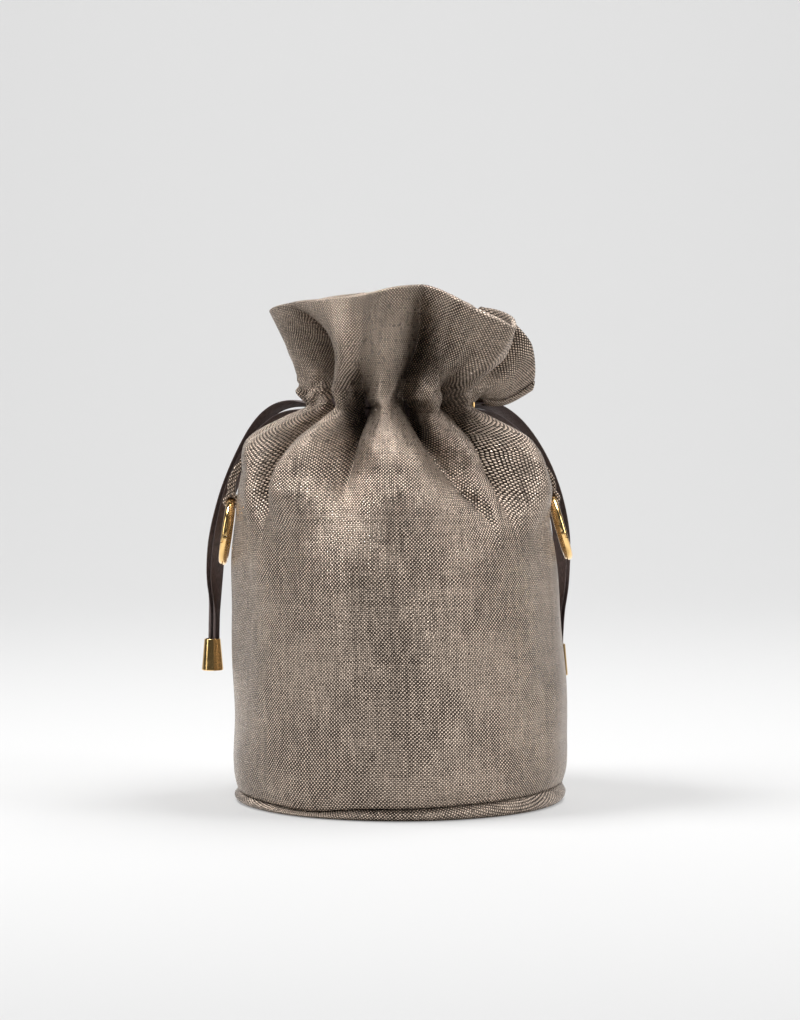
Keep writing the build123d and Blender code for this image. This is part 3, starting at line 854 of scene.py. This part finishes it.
# %% The weave, as a group
def weave_group():
    """Plain weave from flat coordinates in metres. Tone is 0 for dark threads and 1 for bright ones."""
    group, source, sink = shader_group(
        "woven_cloth",
        [("Flat", "NodeSocketVector"), ("Pitch", "NodeSocketFloat"), ("Unevenness", "NodeSocketFloat")],
        [(title, "NodeSocketFloat") for title in ("Tone", "Gap", "Height", "Glint")],
    )
    flat = source.outputs["Flat"]
    split = group.nodes.new("ShaderNodeSeparateXYZ")
    group.links.new(flat, split.inputs[0])
    # the threads wander by up to about a thread's width
    drift = calc(group, "MULTIPLY", calc(group, "SUBTRACT", noise(group, flat, 90.0, 2.0), 0.5), 0.0016)
    u = calc(group, "DIVIDE", calc(group, "ADD", split.outputs[0], drift), source.outputs["Pitch"])
    v = calc(group, "DIVIDE", calc(group, "SUBTRACT", split.outputs[1], drift), source.outputs["Pitch"])
    wave = calc(group, "MULTIPLY", calc(group, "COSINE", calc(group, "MULTIPLY", u, math.pi)),
                calc(group, "COSINE", calc(group, "MULTIPLY", v, math.pi)))
    height = calc(group, "ABSOLUTE", wave)
    warp_up = ramp(group, wave, -0.15, 0.15)
    tones = []
    for across, lengthways in ((u, v), (v, u)):
        thread = calc(group, "ROUND", across)
        pick = group.nodes.new("ShaderNodeTexWhiteNoise")
        pick.noise_dimensions = "1D"
        group.links.new(thread, pick.inputs["W"])
        place = group.nodes.new("ShaderNodeCombineXYZ")
        group.links.new(calc(group, "MULTIPLY", thread, 7.31), place.inputs[0])
        group.links.new(calc(group, "MULTIPLY", lengthways, 0.11), place.inputs[1])
        slub = ramp(group, noise(group, place.outputs[0], 1.0, 3.0, 0.65), 0.32, 0.68)
        own = calc(group, "MULTIPLY", pick.outputs["Value"], 0.45)
        tones.append(calc(group, "ADD", own, calc(group, "MULTIPLY", slub, 0.55)))
    tone = blend_values(group, warp_up, tones[1], tones[0])
    cell = group.nodes.new("ShaderNodeCombineXYZ")
    group.links.new(calc(group, "ROUND", u), cell.inputs[0])
    group.links.new(calc(group, "ROUND", v), cell.inputs[1])
    crossing = group.nodes.new("ShaderNodeTexWhiteNoise")
    crossing.noise_dimensions = "2D"
    group.links.new(cell.outputs[0], crossing.inputs["Vector"])
    tone = blend_values(group, 0.2, tone, crossing.outputs["Value"])
    uneven = calc(group, "MULTIPLY", calc(group, "SUBTRACT", tone, 0.5), source.outputs["Unevenness"])
    # the weave shows more strongly in some patches than in others
    contrast = ramp(group, noise(group, flat, 26.0, 3.0, 0.55), 0.36, 0.62)
    weft_tone = ramp(group, contrast, 0.0, 1.0, 0.18, 0.02)
    warp_tone = ramp(group, contrast, 0.0, 1.0, 0.84, 0.98)
    level = blend_values(group, warp_up, weft_tone, warp_tone)
    group.links.new(calc(group, "ADD", uneven, level, clamp=True), sink.inputs["Tone"])
    # the low places between threads get the dark gap colour: partly the weave's openings, partly painted shade
    # in the hollows between threads; the streaks widen them in patches
    streaks = noise(group, scaled(group, flat, (3.0, 0.5, 1.0)), 150.0, 2.0, 0.6)
    streaks = ramp(group, streaks, 0.34, 0.68, 0.5, 0.9)
    open_weave_shade = calc(group, "MULTIPLY", streaks, ramp(group, contrast, 0.0, 1.0, 0.7, 1.0))
    group.links.new(ramp(group, height, 0.02, open_weave_shade, 1.0, 0.0), sink.inputs["Gap"])
    proud = calc(group, "MULTIPLY", height, ramp(group, tone, 0.0, 1.0, 0.6, 1.2))
    group.links.new(proud, sink.inputs["Height"])
    group.links.new(ramp(group, crossing.outputs["Value"], 0.82, 0.98), sink.inputs["Glint"])
    return group


WEAVE = weave_group()


# %% The wear of metal, as a group
def wear_group():
    """Fine scratches and a faint haze, from coordinates in metres."""
    group, source, sink = shader_group(
        "metal_wear",
        [("Place", "NodeSocketVector")],
        [("Roughness", "NodeSocketFloat"), ("Height", "NodeSocketFloat"), ("Haze", "NodeSocketFloat")],
    )
    scratch = noise(group, scaled(group, source.outputs["Place"], (1.0, 7.0, 0.6)), 900.0, 3.0, 0.6)
    haze = noise(group, source.outputs["Place"], 160.0, 3.0, 0.6)
    dulled, scratched = ramp(group, haze, 0.35, 0.75, 0.0, 0.12), ramp(group, scratch, 0.55, 0.8, 0.10, 0.17)
    rough = calc(group, "ADD", dulled, scratched)
    group.links.new(rough, sink.inputs["Roughness"])
    group.links.new(scratch, sink.inputs["Height"])
    group.links.new(haze, sink.inputs["Haze"])
    return group


WEAR = wear_group()


# %% Materials
def plain_material(name, colour, roughness, metallic=0.0):
    material = bpy.data.materials.new(name)
    material.use_nodes = True
    shader = material.node_tree.nodes["Principled BSDF"]
    shader.inputs["Base Color"].default_value = (*colour, 1)
    shader.inputs["Roughness"].default_value = roughness
    shader.inputs["Metallic"].default_value = metallic
    return material, material.node_tree, shader


def add_group(tree, group, **values):
    node = tree.nodes.new("ShaderNodeGroup")
    node.node_tree = group
    for title, value in values.items():
        feed(tree, node.inputs[title], value)
    return node


def add_bump(tree, shader, height, distance, strength=1.0):
    bump = tree.nodes.new("ShaderNodeBump")
    bump.inputs["Strength"].default_value = strength
    bump.inputs["Distance"].default_value = distance
    tree.links.new(height, bump.inputs["Height"])
    tree.links.new(bump.outputs["Normal"], shader.inputs["Normal"])


def cloth_material(name, dark, light, gap_shade_colour, pitch, unevenness, metallic, roughness, patch=0.35):
    material, tree, shader = plain_material(name, light, roughness, metallic)
    flat = tree.nodes.new("ShaderNodeUVMap")
    flat.uv_map = "cloth"
    weave = add_group(tree, WEAVE, Flat=flat.outputs[0], Pitch=pitch, Unevenness=unevenness)
    colour = blend_colours(tree, weave.outputs["Tone"], (*dark, 1), (*light, 1))
    # painted shade: the gaps between threads take the near-black gap colour, partly for openings in the weave
    # and partly for shade in its hollows
    colour = blend_colours(tree, weave.outputs["Gap"], colour, (*gap_shade_colour, 1))
    soil = ramp(tree, noise(tree, flat.outputs[0], 55.0, 4.0, 0.62), 0.35, 0.7, 0.0, patch)
    colour = blend_colours(tree, soil, colour, (*dark, 1))
    tree.links.new(colour, shader.inputs["Base Color"])
    shine = blend_values(tree, weave.outputs["Glint"], roughness, roughness * 0.45)
    tree.links.new(shine, shader.inputs["Roughness"])
    add_bump(tree, shader, weave.outputs["Height"], pitch * 0.3, 0.8)
    return material


linen = cloth_material(
    "metallic_linen", dark=(0.055, 0.038, 0.027), light=(0.96, 0.78, 0.635), gap_shade_colour=(0.008, 0.005, 0.004),
    pitch=0.0008, unevenness=0.5, metallic=0.72, roughness=0.38, patch=0.08,
)
lining_cloth = cloth_material(
    "lining_cloth", dark=(0.10, 0.075, 0.058), light=(0.26, 0.20, 0.16), gap_shade_colour=(0.07, 0.05, 0.04),
    pitch=0.00035, unevenness=0.8, metallic=0.0, roughness=0.7,
)
satin, satin_tree, satin_shader = plain_material("satin_ribbon", (0.060, 0.034, 0.030), 0.42)
satin_shader.inputs["Anisotropic"].default_value = 0.6
satin_shader.inputs["Sheen Weight"].default_value = 0.12
satin_shader.inputs["Sheen Roughness"].default_value = 0.4
satin_flat = satin_tree.nodes.new("ShaderNodeUVMap")
satin_flat.uv_map = "cloth"
satin_ribs = noise(satin_tree, scaled(satin_tree, satin_flat.outputs[0], (9.0, 1.0, 1.0)), 420.0, 3.0, 0.6)
add_bump(satin_tree, satin_shader, satin_ribs, 0.00025, 0.6)
satin_tone = ramp(satin_tree, satin_ribs, 0.3, 0.7)
satin_tree.links.new(
    blend_colours(satin_tree, satin_tone, (0.042, 0.028, 0.025, 1), (0.120, 0.078, 0.071, 1)),
    satin_shader.inputs["Base Color"],
)


def metal_material(name, colour, dull, roughness_shift):
    material, tree, shader = plain_material(name, colour, 0.2, 1.0)
    place = tree.nodes.new("ShaderNodeTexCoord")
    wear = add_group(tree, WEAR, Place=place.outputs["Object"])
    rough = calc(tree, "ADD", wear.outputs["Roughness"], roughness_shift, clamp=True)
    tree.links.new(rough, shader.inputs["Roughness"])
    hazy = ramp(tree, wear.outputs["Haze"], 0.5, 0.8, 0.0, 0.5)
    tree.links.new(blend_colours(tree, hazy, (*colour, 1), (*dull, 1)), shader.inputs["Base Color"])
    add_bump(tree, shader, wear.outputs["Height"], 0.00002, 0.08)
    return material


gold = metal_material("gold_metal", (0.80, 0.53, 0.22), (0.52, 0.33, 0.13), -0.02)
steel = metal_material("spring_steel", (0.56, 0.55, 0.53), (0.34, 0.33, 0.32), 0.1)
board = plain_material("stiffener_board", (0.27, 0.20, 0.13), 0.85)[0]
print("materials", [material.name for material in (linen, lining_cloth, satin, gold, steel, board)])

# %% Dress every piece
def dress(piece, material):
    piece.data.materials.clear()
    piece.data.materials.append(material)


for piece in (front, back, base, *tabs):
    dress(piece, linen)
for piece in (lining, lining_floor):
    dress(piece, lining_cloth)
for piece in (*ribbons, *loops):
    dress(piece, satin)
for side in ("left", "right"):
    for part in ("eyelet", "washer", "cone_end", "ring_body", "ring_gate", "ring_gate_pin"):
        dress(nodes[f"{side}_{part}"], gold)
    dress(nodes[f"{side}_ring_gate_spring"], steel)
dress(nodes["base_board"], board)

# %% [markdown]
# ## Studio
# A pale floor that curves up into a wall, and broad soft lights: the key above and to the right, which puts
# the soft shadow on the left, one above the left shoulder, one from each side, and one for the wall alone.

# %% Floor and backdrop
FLOOR_GREY = 0.75  # as it lights the pouch
SEEN_GREY = 0.36  # as the camera sees it, with the glow added
SEEN_GLOW = 0.31


def backdrop():
    side, near, far, tall, bend = 4.0, -3.0, 2.2, 3.0, 1.2
    path = [(near, 0.0), (far - bend, 0.0)]
    for a in np.linspace(0.1, math.pi / 2, 16):
        path.append((far - bend + bend * math.sin(a), bend - bend * math.cos(a)))
    path += [(far, tall)]
    rows = np.array([[(-side, y, z), (side, y, z)] for y, z in path])
    return grid_mesh("backdrop", rows)


floor = backdrop()
floor_material = bpy.data.materials.new("backdrop_paper")
floor_material.use_nodes = True
paper = floor_material.node_tree.nodes["Principled BSDF"]
paper.inputs["Roughness"].default_value = 1.0
paper.inputs["Emission Strength"].default_value = SEEN_GLOW
paper_tree = floor_material.node_tree
seen = paper_tree.nodes.new("ShaderNodeLightPath").outputs["Is Camera Ray"]
paper_tree.links.new(seen, paper.inputs["Emission Color"])
grey = blend_colours(paper_tree, seen, (FLOOR_GREY,) * 3 + (1,), (SEEN_GREY,) * 3 + (1,))
paper_tree.links.new(grey, paper.inputs["Base Color"])
floor.data.materials.append(floor_material)

# %% Lights
def soft_light(name, place, size, power, target=(0, 0, 0.12)):
    data = bpy.data.lights.new(name, "AREA")
    data.shape = "RECTANGLE"
    data.size, data.size_y = size
    data.energy = power
    lamp = bpy.data.objects.new(name, data)
    scene.collection.objects.link(lamp)
    lamp.location = place
    lamp.rotation_euler = (Vector(target) - Vector(place)).to_track_quat("-Z", "Y").to_euler()
    return lamp


soft_light("key", (0.36, 0.12, 1.10), (0.7, 0.5), 11.5)
soft_light("shoulder", (-0.42, -0.05, 1.0), (0.4, 0.3), 10.0)
soft_light("front", (-0.2, -2.2, 0.9), (0.8, 0.8), 0.6)
soft_light("left", (-1.3, -0.4, 0.6), (0.4, 1.0), 4.5)
soft_light("right", (1.3, -0.4, 0.6), (0.4, 1.0), 8.0)
soft_light("wall", (0.0, 0.9, 1.5), (2.4, 0.5), 24.0, target=(0.0, 2.2, 0.8))

# %% World and view
WORLD_LIGHT, WORLD_SEEN = 0.09, 0.8
world = bpy.data.worlds.new("studio")
world.use_nodes = True
sky = world.node_tree.nodes["Background"]
sky.inputs["Color"].default_value = (1, 1, 1, 1)
# past the backdrop's edge the camera sees the same pale grey, and the pouch is lit as before
seen = world.node_tree.nodes.new("ShaderNodeLightPath").outputs["Is Camera Ray"]
world.node_tree.links.new(ramp(world.node_tree, seen, 0.0, 1.0, WORLD_LIGHT, WORLD_SEEN), sky.inputs["Strength"])
scene.world = world
scene.view_settings.view_transform = "Standard"
